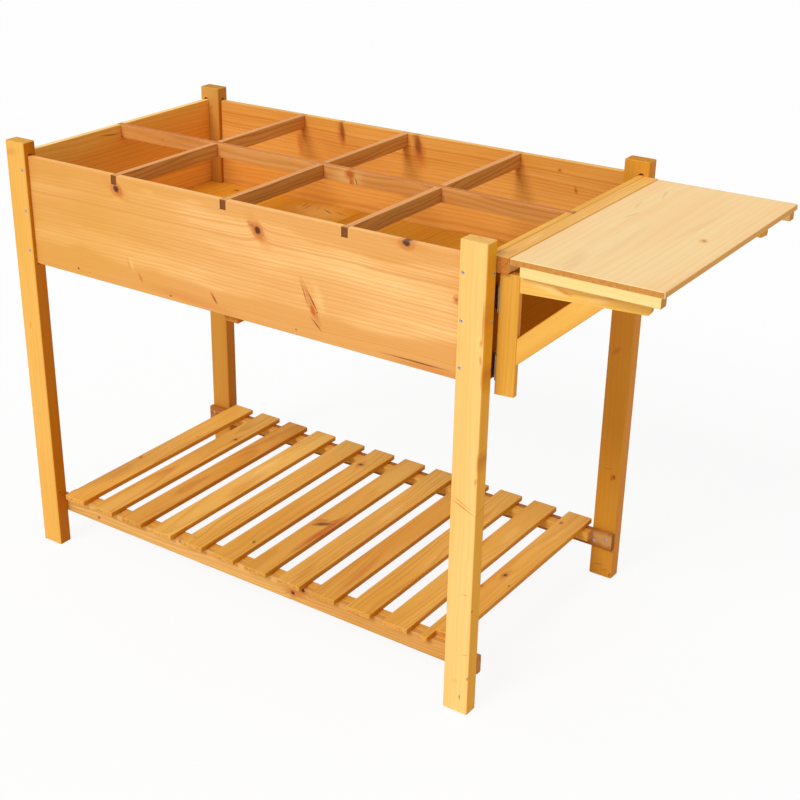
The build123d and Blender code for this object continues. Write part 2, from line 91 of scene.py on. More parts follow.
def vector_calc(tree, operation, first, second=(0, 0, 0)):
    """Outputs of one sum on vectors."""
    return put(tree, "ShaderNodeVectorMath", {0: first, 1: second}, operation=operation).outputs


def weighted(tree, start, *parts):
    """A start plus values, each times its share."""
    for value, share in parts:
        start = calc(tree, "ADD", start, calc(tree, "MULTIPLY", value, share))
    return start


def centred(tree, value, amount):
    """A noise from 0 to 1 made to lie on both sides of 0, and multiplied by an amount."""
    return calc(tree, "MULTIPLY", calc(tree, "SUBTRACT", value, 0.5), amount)


def ramp(tree, value, low, high, start=0.0, end=1.0):
    """Smooth step from start to end as a value goes from low to high."""
    inputs = {"Value": value, "From Min": low, "From Max": high, "To Min": start, "To Max": end}
    return put(tree, "ShaderNodeMapRange", inputs, interpolation_type="SMOOTHSTEP").outputs[0]


def fade(tree, value, low, high):
    """Smooth step down from 1 to 0."""
    return ramp(tree, value, low, high, 1.0, 0.0)


def mix(tree, factor, first, second, blend_type="MIX"):
    """Mix of two colours."""
    inputs = {0: factor, 6: first, 7: second}
    return put(tree, "ShaderNodeMix", inputs, data_type="RGBA", blend_type=blend_type).outputs[2]


def noise(tree, vector, cycles, detail=2.0, roughness=0.5, output=0):
    """Noise from 0 to 1, with so many cycles per unit of a vector along X, Y and Z."""
    scaled = vector_calc(tree, "MULTIPLY", vector, cycles)[0]
    inputs = {"Vector": scaled, "Scale": 1.0, "Detail": detail, "Roughness": roughness}
    return put(tree, "ShaderNodeTexNoise", inputs).outputs[output]


def new_group(name, inputs, outputs):
    """Empty node group with named sockets. Returns the group, what comes into it, and its end."""
    group = bpy.data.node_groups.new(name, "ShaderNodeTree")
    for socket, kind in inputs.items():
        group.interface.new_socket(socket, in_out="INPUT", socket_type=f"NodeSocket{kind}")
    for socket, kind in outputs.items():
        group.interface.new_socket(socket, in_out="OUTPUT", socket_type=f"NodeSocket{kind}")
    return group, group.nodes.new("NodeGroupInput").outputs, group.nodes.new("NodeGroupOutput")


def floats(*names):
    """Number sockets with these names."""
    return {name: "Float" for name in names}


def link_outputs(group, sink, values):
    """Joins values to the output sockets of a group."""
    for name, value in values.items():
        group.links.new(value, sink.inputs[name])


def new_material(name):
    """Material with an empty node tree. Returns both."""
    material = bpy.data.materials.new(name)
    material.use_nodes = True
    material.node_tree.nodes.clear()
    return material, material.node_tree


def end_with_shader(tree, inputs):
    """Ends a material with a main shader that has these inputs."""
    shader = put(tree, "ShaderNodeBsdfPrincipled", inputs).outputs[0]
    put(tree, "ShaderNodeOutputMaterial", {"Surface": shader})


def add_object(name, data):
    """New object in the scene."""
    made = bpy.data.objects.new(name, data)
    bpy.context.scene.collection.objects.link(made)
    return made


def add_mesh(name, mesh, material):
    """New object in the scene from an edit mesh."""
    data = bpy.data.meshes.new(name)
    mesh.to_mesh(data)
    mesh.free()
    data.materials.append(material)
    return add_object(name, data)


def dress(name, material):
    """Gives a CAD node its material."""
    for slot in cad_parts[name].material_slots:
        slot.material = material


# Wood: growth rings round a pith, fibres along the grain, and broad changes of tone. Local X runs
# along the grain, and a noise has its cycles per metre along X, Y and Z. A step is the pair of
# values between which something sets in.
PITH_NOISE = (2.4, 6.0, 6.0)
JITTER_NOISE = (12.0, 170.0, 170.0)
FIBRE_NOISE = (22.0, 1100.0, 1100.0)
STREAK_NOISE = (4.0, 190.0, 190.0)
TONE_NOISE = (2.6, 15.0, 15.0)
FIBRE_STEP = (0.3, 0.7)
STREAK_STEP = (0.35, 0.75)
TONE_STEP = (0.36, 0.68)
DEEPEST_TONE = 0.75

# Growth rings: how many metres the pith strays, cycles of the rings' unevenness per ring, how many
# rings it and the jitter shift them by, how strong the faintest is, and the parts of a ring at
# which its late wood starts and is darkest
PITH_STRAY = 0.024
UNEVEN_CYCLES = 0.31
UNEVEN_SHIFT = 2.2
UNEVEN_STEP = (0.3, 0.7)
JITTER_SHIFT = 0.55
FAINTEST_RING = 0.4
LATE_START = 0.3
LATE_DARKEST = 0.82


def pith_distance(group, source, moved):
    """Distance from the pith, which leans and strays, with what knots add to it."""
    place = put(group, "ShaderNodeSeparateXYZ", {0: source["Vector"]}).outputs
    pith = put(group, "ShaderNodeSeparateXYZ", {0: source["Pith"]}).outputs
    colours = noise(group, moved, PITH_NOISE, output="Color")
    stray = put(group, "ShaderNodeSeparateColor", {0: colours}).outputs
    off_y = calc(group, "SUBTRACT", place["Y"], pith["Y"])
    off_y = calc(group, "ADD", off_y, centred(group, stray[0], PITH_STRAY))
    off_y = weighted(group, off_y, (place["X"], source["Lean"]))
    off_z = calc(group, "SUBTRACT", place["Z"], pith["Z"])
    off_z = calc(group, "ADD", off_z, centred(group, stray[1], PITH_STRAY))
    squared = weighted(group, 0.0, (off_y, off_y), (off_z, off_z))
    return calc(group, "ADD", calc(group, "SQRT", squared), source["Push"])


def growth_rings(group, source, moved):
    """Late wood of the rings, some of them wider or fainter than others."""
    count = calc(group, "DIVIDE", pith_distance(group, source, moved), source["Ring"])
    inputs = {"W": calc(group, "MULTIPLY", count, UNEVEN_CYCLES), "Scale": 1.0}
    uneven = put(group, "ShaderNodeTexNoise", inputs, noise_dimensions="1D").outputs[0]
    jitter = noise(group, moved, JITTER_NOISE, 3.0)
    count = weighted(group, count, (uneven, UNEVEN_SHIFT), (jitter, JITTER_SHIFT))
    phase = calc(group, "FRACT", count)
    rise = ramp(group, phase, LATE_START, LATE_DARKEST)
    late = calc(group, "MULTIPLY", rise, fade(group, phase, LATE_DARKEST, 1.0))
    return calc(group, "MULTIPLY", late, ramp(group, uneven, *UNEVEN_STEP, FAINTEST_RING, 1.0))


def make_figure_group():
    """What plain wood shows, each from 0 to 1."""
    inputs = {"Vector": "Vector", "Seed": "Vector", "Pith": "Vector"}
    inputs |= floats("Lean", "Ring", "Push")
    outputs = floats("Rings", "Fibre", "Streak", "Tone")
    group, source, sink = new_group("wood_figure", inputs, outputs)
    moved = vector_calc(group, "ADD", source["Vector"], source["Seed"])[0]
    fibre = noise(group, moved, FIBRE_NOISE, 2.0, 0.6)
    streak = noise(group, moved, STREAK_NOISE, 3.0, 0.55)
    tone = noise(group, moved, TONE_NOISE, 3.0)
    values = {
        "Rings": growth_rings(group, source, moved),
        "Fibre": ramp(group, fibre, *FIBRE_STEP),
        "Streak": ramp(group, streak, *STREAK_STEP),
        "Tone": ramp(group, tone, *TONE_STEP, 0.0, DEEPEST_TONE),
    }
    link_outputs(group, sink, values)
    return group


# Marks in the wood. Their parts start and end at these distances from the middle, in radii.
KNOT_CORE = (0.45, 1.15)
KNOT_RING = (0.85, 1.15)
KNOT_RING_END = (1.3, 2.0)
KNOT_HALO = (0.7, 2.4)
SPOT_EDGE = (0.3, 1.2)

# How uneven their outlines are in radii, with the cycles of that per radius, and how a knot pushes
# the growth rings away: in radii at its middle, and less with the square of the distance
OUTLINE_NOISE = (1.7, 1.7, 1.7)
KNOT_UNEVEN = 0.6
HALO_UNEVEN = 0.9
SPOT_UNEVEN = 0.8
HALO_SQUEEZE = (0.4, 1, 1)
PUSH_AT_MIDDLE = 1.1
PUSH_DECAY = -0.2


def roughened(group, vector, amount):
    """Distance from the middle of a mark, in its radii, uneven by an amount."""
    away = vector_calc(group, "LENGTH", vector)["Value"]
    return calc(group, "ADD", away, centred(group, noise(group, vector, OUTLINE_NOISE), amount))


def make_knot_group():
    """A knot: dark core, paler ring, a halo that runs out along the grain, and growth rings pushed
    round it. Each is joined with that of the knots before it."""
    joined = floats("Push", "Core", "Ring", "Halo")
    inputs = {"Vector": "Vector", "Size": "Float"} | joined
    group, source, sink = new_group("wood_knot", inputs, joined)
    away = roughened(group, source["Vector"], KNOT_UNEVEN)
    squared = calc(group, "MULTIPLY", away, away)
    bell = calc(group, "EXPONENT", calc(group, "MULTIPLY", squared, PUSH_DECAY))
    push = calc(group, "MULTIPLY", bell, source["Size"])
    squeezed = vector_calc(group, "MULTIPLY", source["Vector"], HALO_SQUEEZE)[0]
    ring = calc(group, "MULTIPLY", ramp(group, away, *KNOT_RING), fade(group, away, *KNOT_RING_END))
    found = {
        "Core": fade(group, away, *KNOT_CORE),
        "Ring": ring,
        "Halo": fade(group, roughened(group, squeezed, HALO_UNEVEN), *KNOT_HALO),
    }
    values = {name: calc(group, "MAXIMUM", source[name], value) for name, value in found.items()}
    values["Push"] = weighted(group, source["Push"], (push, PUSH_AT_MIDDLE))
    link_outputs(group, sink, values)
    return group


def make_spot_group():
    """A soft spot of another colour, joined with those before it."""
    inputs = {"Vector": "Vector"} | floats("Strength", "Spot")
    group, source, sink = new_group("wood_spot", inputs, floats("Spot"))
    away = roughened(group, source["Vector"], SPOT_UNEVEN)
    spot = ramp(group, away, *SPOT_EDGE, source["Strength"], 0.0)
    link_outputs(group, sink, {"Spot": calc(group, "MAXIMUM", source["Spot"], spot)})
    return group


# Colours of marks in the wood, the same for every piece
KNOT_COLOUR = srgb(88, 42, 34)
RING_COLOUR = srgb(206, 116, 48)
RUST_COLOUR = srgb(196, 96, 32)
DARK_COLOUR = srgb(104, 54, 28)
PALE_COLOUR = srgb(255, 214, 138)
GOLD_COLOUR = srgb(218, 155, 56)

# Sawn ends: how well their colour covers, when specks set in, how strong they get for a piece's
# figure, and how much of the dark colour they take
END_COVER = 0.9
SPECK_STEP = (0.4, 1.8)
SPECKS_PER_FIGURE = 2.0
SPECK_DARKNESS = 0.5

# Roughness of the stained wood, and what streaks and sawn ends add to it
ROUGHNESS = 0.46
STREAK_ROUGHNESS = 0.1
END_ROUGHNESS = 0.25


def put_layers(group, value):
    """Colour of the long faces. Each layer is an amount, how well it covers, and a colour."""
    rings = calc(group, "MULTIPLY", value["Rings"], value["Figure"], clamp=True)
    layers = (
        (rings, 1.0, value["Late"]),
        (value["Streak"], 0.3, value["Deep"]),
        (value["Fibre"], 0.14, value["Late"]),
        (value["Glow"], 1.0, PALE_COLOUR),
        (value["Gold"], 1.0, GOLD_COLOUR),
        (value["Halo"], 0.45, value["Late"]),
        (value["Rust"], 1.0, RUST_COLOUR),
        (value["Ring"], 0.6, RING_COLOUR),
        (value["Dark"], 1.0, DARK_COLOUR),
        (value["Core"], 0.95, KNOT_COLOUR),
        # Paler edges: rubbed wear with a painted highlight
        (value["Wear_And_Highlight"], 0.25, value["Pale"]),
    )
    colour = mix(group, value["Tone"], value["Pale"], value["Deep"])
    for amount, cover, layer in layers:
        colour = mix(group, calc(group, "MULTIPLY", amount, cover), colour, layer)
    return colour


def end_grain(group, value):
    """Colour of a sawn end, speckled where rings, fibres and streaks come out of it."""
    specks = weighted(group, value["Fibre"], (value["Rings"], 0.4), (value["Streak"], 1.0))
    most = calc(group, "MULTIPLY", value["Figure"], SPECKS_PER_FIGURE, clamp=True)
    specks = ramp(group, specks, *SPECK_STEP, 0.0, most)
    return mix(group, specks, value["End"], mix(group, SPECK_DARKNESS, value["End"], DARK_COLOUR))


def make_stain_group():
    """Stained wood: its long faces, upward faces that took the stain otherwise, faces towards X
    darkened as painted shade, and its sawn ends."""
    inputs = {name: "Color" for name in ("Pale", "Deep", "Late", "End", "Top", "Side")}
    inputs |= floats("Rings", "Fibre", "Streak", "Tone", "Figure", "Core", "Ring", "Halo")
    inputs |= floats("Rust", "Dark", "Glow", "Gold", "Ending", "Up", "Shade_Facing", "Wear_And_Highlight")
    outputs = {"Colour": "Color"} | floats("Roughness", "Height")
    group, value, sink = new_group("wood_stain", inputs, outputs)
    colour = put_layers(group, value)
    colour = mix(group, value["Up"], colour, value["Top"], "MULTIPLY")
    # Faces towards X are darkened and deepened in colour as painted shade
    colour = mix(group, value["Shade_Facing"], colour, value["Side"], "MULTIPLY")
    ending = calc(group, "MULTIPLY", value["Ending"], END_COVER)
    colour = mix(group, ending, colour, end_grain(group, value))
    rough = weighted(group, ROUGHNESS, (value["Streak"], STREAK_ROUGHNESS))
    rough = weighted(group, rough, (value["Ending"], END_ROUGHNESS))
    height = weighted(group, 0.0, (value["Rings"], 0.4), (value["Fibre"], 0.5))
    height = weighted(group, height, (value["Core"], 0.6))
    link_outputs(group, sink, {"Colour": colour, "Roughness": rough, "Height": height})
    return group


figure_group = make_figure_group()
knot_group = make_knot_group()
spot_group = make_spot_group()
stain_group = make_stain_group()


class Stain:
    """One kind of stained wood: colours of its pale, deep and late wood and of its sawn ends, how
    strongly its rings show, what multiplies its upward faces, and the painted shade of its faces
    towards X."""

    def __init__(self, pale, deep, late, end, figure, top=(1, 1, 1), side=(1, 1, 1)):
        colours = {"Pale": pale, "Deep": deep, "Late": late, "End": end}
        self.colours = {name: srgb(*colour) for name, colour in colours.items()}
        self.others = {"Top": (*top, 1), "Side": (*side, 1), "Figure": figure}

    def inputs(self, tint):
        """Inputs for the stain group, with the colours multiplied by a tint."""
        made = {}
        for name, colour in self.colours.items():
            made[name] = [min(1.0, part * share) for part, share in zip(colour, tint)] + [1.0]
        return made | self.others


# The side colours darken and deepen each stain's faces towards X, either way, as painted shade
POST_COLOURS = ((253, 204, 124), (246, 190, 104), (232, 168, 80), (246, 190, 100))
POST = Stain(*POST_COLOURS, 0.28, side=(0.88, 0.66, 0.12))
LEFT_POST = Stain(*POST_COLOURS, 0.28, side=(0.7, 0.43, 0.04))
# Darker copy of the post wood for the back right post: painted shade under the tabletop
POST_IN_PAINTED_SHADE = Stain(
    (219, 155, 58), (213, 144, 48), (201, 128, 36), (208, 138, 44), 0.35, side=(1.0, 0.78, 0.3)
)
BOARD = Stain(
    (253, 202, 132), (223, 160, 87), (214, 144, 70), (190, 116, 48), 0.66, top=(1.3, 1.4, 1.6)
)
# Wood of the inside of the box, deeper than the front board partly as painted shade there
INNER = Stain(
    (238, 176, 88), (222, 154, 64), (198, 122, 40), (190, 116, 48), 0.6,
    top=(1.1, 1.3, 1.7), side=(1, 0.95, 0.6),
)
# Wood of the right board: its outer face towards X is made very dark as painted shadow under the
# tabletop
OUTER = Stain(
    (246, 190, 98), (236, 172, 76), (210, 140, 50), (190, 116, 48), 0.45, side=(0.38, 0.2, 0.05)
)
DIVIDER = Stain(
    (240, 174, 86), (216, 144, 66), (166, 98, 42), (110, 60, 32), 0.65, top=(1.05, 1.02, 1.5)
)
LONG_DIVIDER = Stain(
    (234, 172, 96), (216, 144, 70), (186, 110, 46), (124, 70, 36), 0.6, top=(0.85, 0.6, 0.35)
)
FLOOR = Stain((238, 172, 66), (222, 148, 44), (200, 120, 28), (170, 96, 40), 0.45)
SLAT = Stain(
    (240, 186, 90), (229, 166, 64), (202, 128, 40), (224, 160, 76), 0.6, side=(0.85, 0.6, 0.12)
)
BEAM = Stain((228, 176, 98), (208, 148, 72), (178, 112, 46), (196, 132, 58), 0.7)
RAIL = Stain((250, 194, 104), (242, 176, 82), (216, 146, 56), (200, 120, 50), 0.5)
TABLE = Stain(
    (255, 222, 162), (255, 209, 147), (245, 195, 125), (206, 134, 46), 0.4, side=(0.8, 0.54, 0.2)
)
PALE_BATTEN = Stain((253, 222, 152), (251, 214, 138), (240, 194, 112), (214, 140, 56), 0.35)
BRACKET = Stain(
    (246, 194, 98), (234, 172, 70), (210, 136, 44), (226, 160, 70), 0.45, side=(1.0, 0.8, 0.35)
)
UNTINTED = (1.0, 1.0, 1.0)


# Materials of single pieces, in metres: how deep a mark goes, how round the edges look, how wide
# the paler band of rubbed wear and painted highlight along them is, how deep the relief is, and how
# far off in the noise a piece is cut. Then how much a piece's ring width and colours may differ
# from the ones given.
THROUGH = 1000.0
ROUNDING = 0.0012
WEAR_AND_HIGHLIGHT_WIDTH = 0.0022
RELIEF_DEPTH = 0.0003
FARTHEST = 20
RING_VARIATION = (0.85, 1.2)
COLOUR_VARIATION = 0.035
RELIEF_STRENGTH = 0.35

# How far surfaces agree with a direction, as cosines, from where they count as facing it to where
# they do so fully, and how far rounded and true normals agree beside an edge
ENDING_FROM = 0.8
UP_FROM = 0.75
ASIDE_FROM = 0.6
FACES_FULLY = 0.95
WEAR_AND_HIGHLIGHT_STEP = (0.995, 0.8)

# How the edges of a board's deeper bands wave: cycles per metre, and how far in metres
BAND_NOISE = (5.0, 3.0, 3.0)
BAND_WAVE = 0.06


def seed_of(name):
    """Steady random numbers for a piece."""
    return random.Random(crc32(name.encode()))


def rounded_normal(tree, radius):
    """Normal as if the edges were rounded."""
    return put(tree, "ShaderNodeBevel", {"Radius": radius}, samples=4).outputs[0]


class Mark:
    """A knot, or a rust, dark, pale or golden spot, on the faces across local Y or Z. Its place
    is in metres, its radius in millimetres, and its turn in degrees. It is stretched along X."""

    def __init__(self, kind, along, across, facing, radius, stretch=1.0, turn=0.0, strength=1.0):
        self.kind = kind
        self.along = along
        self.across = across
        self.facing = facing
        self.radius = radius * MM
        self.stretch = stretch
        self.turn = math.radians(turn)
        self.strength = strength

    def vector(self, tree, local):
        """Place measured from the mark, in its radii, with no regard to depth."""
        length = self.radius * self.stretch
        if self.facing == "Y":
            inputs = {"Location": (self.along, 0, self.across), "Rotation": (0, self.turn, 0)}
            inputs["Scale"] = (length, THROUGH, self.radius)
        else:
            inputs = {"Location": (self.along, self.across, 0), "Rotation": (0, 0, self.turn)}
            inputs["Scale"] = (length, self.radius, THROUGH)
        inputs["Vector"] = local
        return put(tree, "ShaderNodeMapping", inputs, vector_type="TEXTURE").outputs[0]


def put_marks(tree, local, marks):
    """Knots and spots of a piece, as values for its figure and its stain."""
    knots = {"Push": 0.0, "Core": 0.0, "Ring": 0.0, "Halo": 0.0}
    spots = {"Rust": 0.0, "Dark": 0.0, "Glow": 0.0, "Gold": 0.0}
    for mark in marks:
        vector = mark.vector(tree, local)
        if mark.kind == "Knot":
            made = put_group(tree, knot_group, {"Vector": vector, "Size": mark.radius} | knots)
            knots = {key: made.outputs[key] for key in knots}
        else:
            inputs = {"Vector": vector, "Strength": mark.strength, "Spot": spots[mark.kind]}
            spots[mark.kind] = put_group(tree, spot_group, inputs).outputs[0]
    return knots | spots


def put_bands(tree, local, tone, bands):
    """Deeper bands along the grain: each starts at one height across it and is full at another."""
    height = put(tree, "ShaderNodeSeparateXYZ", {0: local}).outputs["Z"]
    wave = centred(tree, noise(tree, local, BAND_NOISE), BAND_WAVE)
    height = calc(tree, "ADD", height, wave)
    for start, full, amount in bands:
        if start < full:
            band = ramp(tree, height, start, full, 0.0, amount)
        else:
            band = ramp(tree, height, full, start, amount, 0.0)
        tone = calc(tree, "MAXIMUM", tone, band)
    return tone


def facing_axis(tree, normal, axis, start):
    """One where the surface faces along an axis, either way."""
    agree = vector_calc(tree, "DOT_PRODUCT", normal, axis)["Value"]
    return ramp(tree, calc(tree, "ABSOLUTE", agree), start, FACES_FULLY)


def edge_mask(tree):
    """How near the surface is to an edge of the wood, from its rounded and its true normal."""
    true_normal = put(tree, "ShaderNodeNewGeometry").outputs["True Normal"]
    rounded = rounded_normal(tree, WEAR_AND_HIGHLIGHT_WIDTH)
    agree = vector_calc(tree, "DOT_PRODUCT", rounded, true_normal)["Value"]
    return ramp(tree, agree, *WEAR_AND_HIGHLIGHT_STEP)


def put_facings(tree, normal, grain):
    """Which faces are sawn ends, look up or look aside, and where their edges are."""
    grain_axis = Euler(grain).to_matrix() @ Vector((1, 0, 0))
    return {
        "Ending": facing_axis(tree, normal, grain_axis, ENDING_FROM),
        "Up": facing_axis(tree, normal, (0, 0, 1), UP_FROM),
        # Faces towards X, either way, take the painted shade of the side colour
        "Shade_Facing": facing_axis(tree, normal, (1, 0, 0), ASIDE_FROM),
        # Edges take a paler band of rubbed wear and painted highlight
        "Wear_And_Highlight": edge_mask(tree),
    }


def put_figure(tree, local, numbers, pith, ring, lean, push):
    """Figure of one piece, cut from its own place in the tree."""
    inputs = {"Vector": local, "Seed": [numbers.uniform(-FARTHEST, FARTHEST) for axis in range(3)]}
    inputs |= {"Pith": (0, *pith), "Lean": lean * numbers.uniform(-1, 1)}
    inputs |= {"Ring": ring * numbers.uniform(*RING_VARIATION), "Push": push}
    figure = put_group(tree, figure_group, inputs).outputs
    return {key: figure[key] for key in ("Rings", "Fibre", "Streak", "Tone")}


def dress_wood(
    name, stain, grain, pith, ring=0.0055, lean=0.02, marks=(), tint=UNTINTED, bands=(), gloss=0.1
):
    """Gives a piece its own stained wood. Grain is the turn from local X to the grain, pith is how
    far across the grain the heart of the tree lies from the middle of the piece, ring is about how
    wide its growth rings are, and lean is how steeply at most it cuts them."""
    numbers = seed_of(name)
    low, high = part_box(name)
    material, tree = new_material(f"wood_{name}")
    coordinates = put(tree, "ShaderNodeTexCoord").outputs
    inputs = {"Vector": coordinates["Object"], "Location": (low + high) / 2, "Rotation": grain}
    local = put(tree, "ShaderNodeMapping", inputs, vector_type="TEXTURE").outputs[0]
    inputs = put_marks(tree, local, marks)
    inputs |= put_figure(tree, local, numbers, pith, ring, lean, inputs.pop("Push"))
    if bands:
        inputs["Tone"] = put_bands(tree, local, inputs["Tone"], bands)
    inputs |= put_facings(tree, coordinates["Normal"], grain)
    vary = 1 + numbers.uniform(-COLOUR_VARIATION, COLOUR_VARIATION)
    inputs |= stain.inputs([share * vary for share in tint])
    stained = put_group(tree, stain_group, inputs).outputs
    relief = {"Height": stained["Height"], "Distance": RELIEF_DEPTH, "Strength": RELIEF_STRENGTH}
    relief["Normal"] = rounded_normal(tree, ROUNDING)
    inputs = {"Base Color": stained["Colour"], "Roughness": stained["Roughness"]}
    inputs["Normal"] = put(tree, "ShaderNodeBump", relief).outputs[0]
    end_with_shader(tree, inputs | {"Specular IOR Level": gloss})
    dress(name, material)


# Marks of the pieces. Each is listed as its kind, its place in millimetres from the planter's front
# left corner or the floor, and its radius, stretch, turn and strength.
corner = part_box("post_front_left")[0]


def from_middle(name, x=0.0, y=0.0, z=0.0):
    """Place given in millimetres from the planter's corner, measured from the middle of a piece."""
    low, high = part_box(name)
    return Vector((corner.x, corner.y, 0)) + Vector((x, y, z)) * MM - (low + high) / 2


def on_front(name, kind, x, z, *shape):
    """Mark on a face towards Y of a piece with its grain along X."""
    place = from_middle(name, x=x, z=z)
    return Mark(kind, place.x, place.z, "Y", *shape)


def on_top(name, kind, x, y, *shape):
    """Mark on an upward face of a piece with its grain along Y."""
    place = from_middle(name, x=x, y=y)
    return Mark(kind, place.y, -place.x, "Z", *shape)


def on_wall(name, kind, y, z, *shape):
    """Mark on a face towards X of a piece with its grain along Y."""
    place = from_middle(name, y=y, z=z)
    return Mark(kind, place.y, place.z, "Y", *shape)


def on_leg(name, kind, x, z, *shape):
    """Mark on a face towards Y of an upright piece."""
    place = from_middle(name, x=x, z=z)
    return Mark(kind, place.z, -place.x, "Y", *shape)


def on_leg_side(name, kind, y, z, *shape):
    """Mark on a face towards X of an upright piece."""
    place = from_middle(name, y=y, z=z)
    return Mark(kind, place.z, place.y, "Z", *shape)


def marked(side, name, listed):
    """Marks on one side of a piece."""
    return [side(name, *mark) for mark in listed]


POSTS = {
    "post_front_left": (LEFT_POST, (0.9, 0.8, 0.5)),
    "post_front_right": (POST, UNTINTED),
    # The back left post's tint is oranger wood and also painted shade under the box
    "post_back_left": (POST, (0.63, 0.49, 0.22)),
    "post_back_right": (POST_IN_PAINTED_SHADE, (1.0, 1.0, 0.85)),
}
POST_MARKS = {
    "post_front_left": (
        ("Rust", 20, 470, 3, 3, 0, 0.35),
        ("Rust", 12, 800, 8, 2, 70, 0.25),
        ("Dark", 4, 1, 3, 3, 90, 0.5),
    ),
    "post_front_right": (
        ("Dark", 977, 387, 1.5, 17, -66, 0.5),
        ("Rust", 973, 395, 2.0, 10, -66, 0.4),
        ("Rust", 999, 470, 2.2, 9, 0, 0.5),
        ("Rust", 997, 438, 2.4, 3, 8, 0.5),
        ("Dark", 988, 231, 0.9, 8, 86, 0.45),
        ("Dark", 992, 118, 1.0, 7, 70, 0.4),
        ("Rust", 998, 700, 2.5, 16, 0, 0.5),
        ("Rust", 996, 668, 3.0, 2.5, 12, 0.5),
        ("Rust", 996, 640, 2.6, 3.5, -8, 0.5),
        ("Rust", 999, 612, 2.5, 9, 0, 0.4),
        ("Dark", 985, 32, 2, 3, 0, 0.6),
        ("Dark", 998, 73, 2, 2, 0, 0.5),
        ("Rust", 975, 60, 6, 1.4, 70, 0.15),
    ),
    # The back left post's pale spot near its top is painted light where the lamp reaches it
    "post_back_left": (("Rust", 28, 780, 3.4, 1, 0, 0.8), ("Glow", 23, 760, 70, 2.2, 0, 0.12)),
    "post_back_right": (
        ("Rust", 970, 470, 6, 2.4, 40, 0.4),
        ("Rust", 985, 216, 5, 1.7, 15, 0.9),
        ("Dark", 988, 218, 2.6, 2, -20, 0.6),
        ("Dark", 974, 232, 0.9, 13, 82, 0.45),
        ("Dark", 970, 24, 1.0, 13, 80, 0.5),
        ("Dark", 984, 15, 1.0, 9, 64, 0.5),
        ("Dark", 996, 8, 3, 1.6, 0, 0.5),
    ),
}
POST_SIDE_MARKS = {
    "post_front_left": (("Dark", 10, 115, 2.2, 1, 0, 0.9),),
    "post_front_right": (("Dark", 3, 203, 2, 2, 0, 0.6), ("Dark", 14, 382, 0.9, 16, 66, 0.4)),
}


def dress_posts():
    for name, (stain, tint) in POSTS.items():
        marks = marked(on_leg, name, POST_MARKS[name])
        marks += marked(on_leg_side, name, POST_SIDE_MARKS.get(name, ()))
        dress_wood(name, stain, ALONG_Z, (0.05, 0.09), ring=0.007, marks=marks, tint=tint)


FRONT_BOARD_MARKS = (
    ("Knot", 261, 772, 7.2, 1.15, 30),
    ("Rust", 268, 770, 9.0, 1.6, 50, 0.65),
    ("Knot", 571.6, 757.5, 7.6, 1.15, 50),
    ("Rust", 571, 755, 11.0, 2.2, 42, 0.5),
    ("Dark", 557, 765, 4.0, 2.4, 30, 0.3),
    ("Knot", 856, 792, 6.8, 1.4, 8),
    ("Rust", 678, 655, 7.0, 6.8, 63, 0.5),
    ("Glow", 693, 668, 9.0, 3.6, 70, 0.25),
    ("Rust", 681, 645, 6.0, 2.4, 60, 0.95),
    ("Dark", 681, 660, 1.5, 14, 58, 0.9),
    ("Dark", 665, 668, 1.3, 18, 69, 0.65),
    ("Dark", 688, 623, 1.6, 10, 42, 0.8),
    ("Dark", 690, 644, 2.2, 1, 0, 0.7),
    ("Dark", 475, 619, 1.5, 8, 54, 0.85),
    ("Rust", 473, 621, 4.0, 3.5, 54, 0.5),
    ("Dark", 154, 607, 2.6, 1.2, 20, 0.9),
    ("Dark", 182, 605, 1.4, 1, 0, 0.9),
    ("Dark", 376, 603, 2.4, 1, 0, 0.9),
    ("Dark", 647, 605, 2.2, 1, 0, 0.7),
    ("Rust", 307, 621, 3.4, 3.6, 59, 0.6),
    ("Glow", 287, 643, 5.0, 3.6, 76, 0.3),
    ("Rust", 280, 641, 2.4, 6, 72, 0.25),
    ("Glow", 334, 780, 5, 4, 0, 0.2),
    ("Glow", 436, 780, 5, 5, 0, 0.2),
    ("Dark", 880, 606, 1.6, 42, 0, 0.85),
    ("Rust", 900, 600, 5.0, 16, 0, 0.4),
    ("Rust", 946, 722, 9.0, 0.8, 0, 0.6),
    ("Dark", 946, 722, 2.6, 0.9, 0, 0.5),
    ("Gold", 80, 700, 200, 1.9, 0, 0.5),
    # This broad faint rust-coloured spot darkens the board's left end
    ("Rust", 40, 745, 70, 3.2, 0, 0.12),
    ("Rust", 330, 690, 7, 9, 2, 0.12),
    ("Rust", 420, 607, 10, 12, 2, 0.25),
)
BACK_BOARD_MARKS = (
    ("Dark", 354, 776, 6.5, 3.8, 80, 0.65),
    ("Rust", 352, 770, 12.0, 2.8, 80, 0.6),
    ("Dark", 529, 776, 9.0, 2.8, 76, 0.65),
    ("Rust", 532, 764, 16.0, 2.4, 76, 0.6),
    ("Rust", 250, 740, 9.0, 3.5, 80, 0.5),
    ("Rust", 375, 735, 45, 2.2, 0, 0.2),
    ("Rust", 828, 777, 4.0, 1.3, 0, 0.6),
    ("Dark", 828, 777, 1.8, 1, 0, 0.6),
    ("Rust", 862, 746, 4.0, 2.2, 70, 0.6),
    ("Dark", 862, 746, 1.8, 2, 70, 0.5),
)
# Heights above the board's middle at which each deeper band starts and is full, and how deep it is
FRONT_BOARD_BANDS = ((-0.036, -0.06, 1.0), (0.058, 0.08, 0.9))


